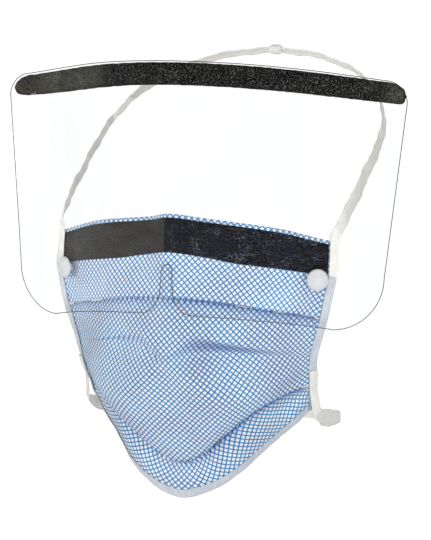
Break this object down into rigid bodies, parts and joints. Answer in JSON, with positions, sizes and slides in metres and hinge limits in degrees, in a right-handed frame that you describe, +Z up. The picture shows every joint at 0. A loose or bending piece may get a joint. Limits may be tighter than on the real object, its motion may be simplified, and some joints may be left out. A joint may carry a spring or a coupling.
{
  "type": "surgical face mask with eye shield",
  "caption": "Worn pleated mask in crosshatched cloth with dark glare strip, clear wrap-round visor, foam brow bar, snap rivets and ribbon ties.",
  "frame": {"origin": "on the wearer's nose bridge, just under the middle of the mask's top edge, where the mask sits on the face", "axes": "+Z up, -Y the way the wearer looks, +X the wearer's left"},
  "size_m": [0.2188, 0.1633, 0.2339],
  "materials": {
    "crosshatch_cloth": "matte",
    "dark_strip": "satin",
    "edge_binding": "matte",
    "clear_film": "gloss",
    "black_foam": "matte",
    "white_plastic": "satin",
    "tie_ribbon": "matte"
  },
  "bodies": {
    "root": {"mask_body": "crosshatch_cloth", "glare_strip": "dark_strip", "binding_left": "edge_binding", "binding_right": "edge_binding", "binding_bottom": "edge_binding", "visor": "clear_film", "foam_bar": "black_foam", "rivet_left": "white_plastic", "rivet_right": "white_plastic", "tie_upper_left": "tie_ribbon", "tie_upper_right": "tie_ribbon", "tie_lower_left": "tie_ribbon", "tie_lower_right": "tie_ribbon", "knot_upper": "tie_ribbon", "knot_lower": "tie_ribbon"}
  },
  "joints": []
}
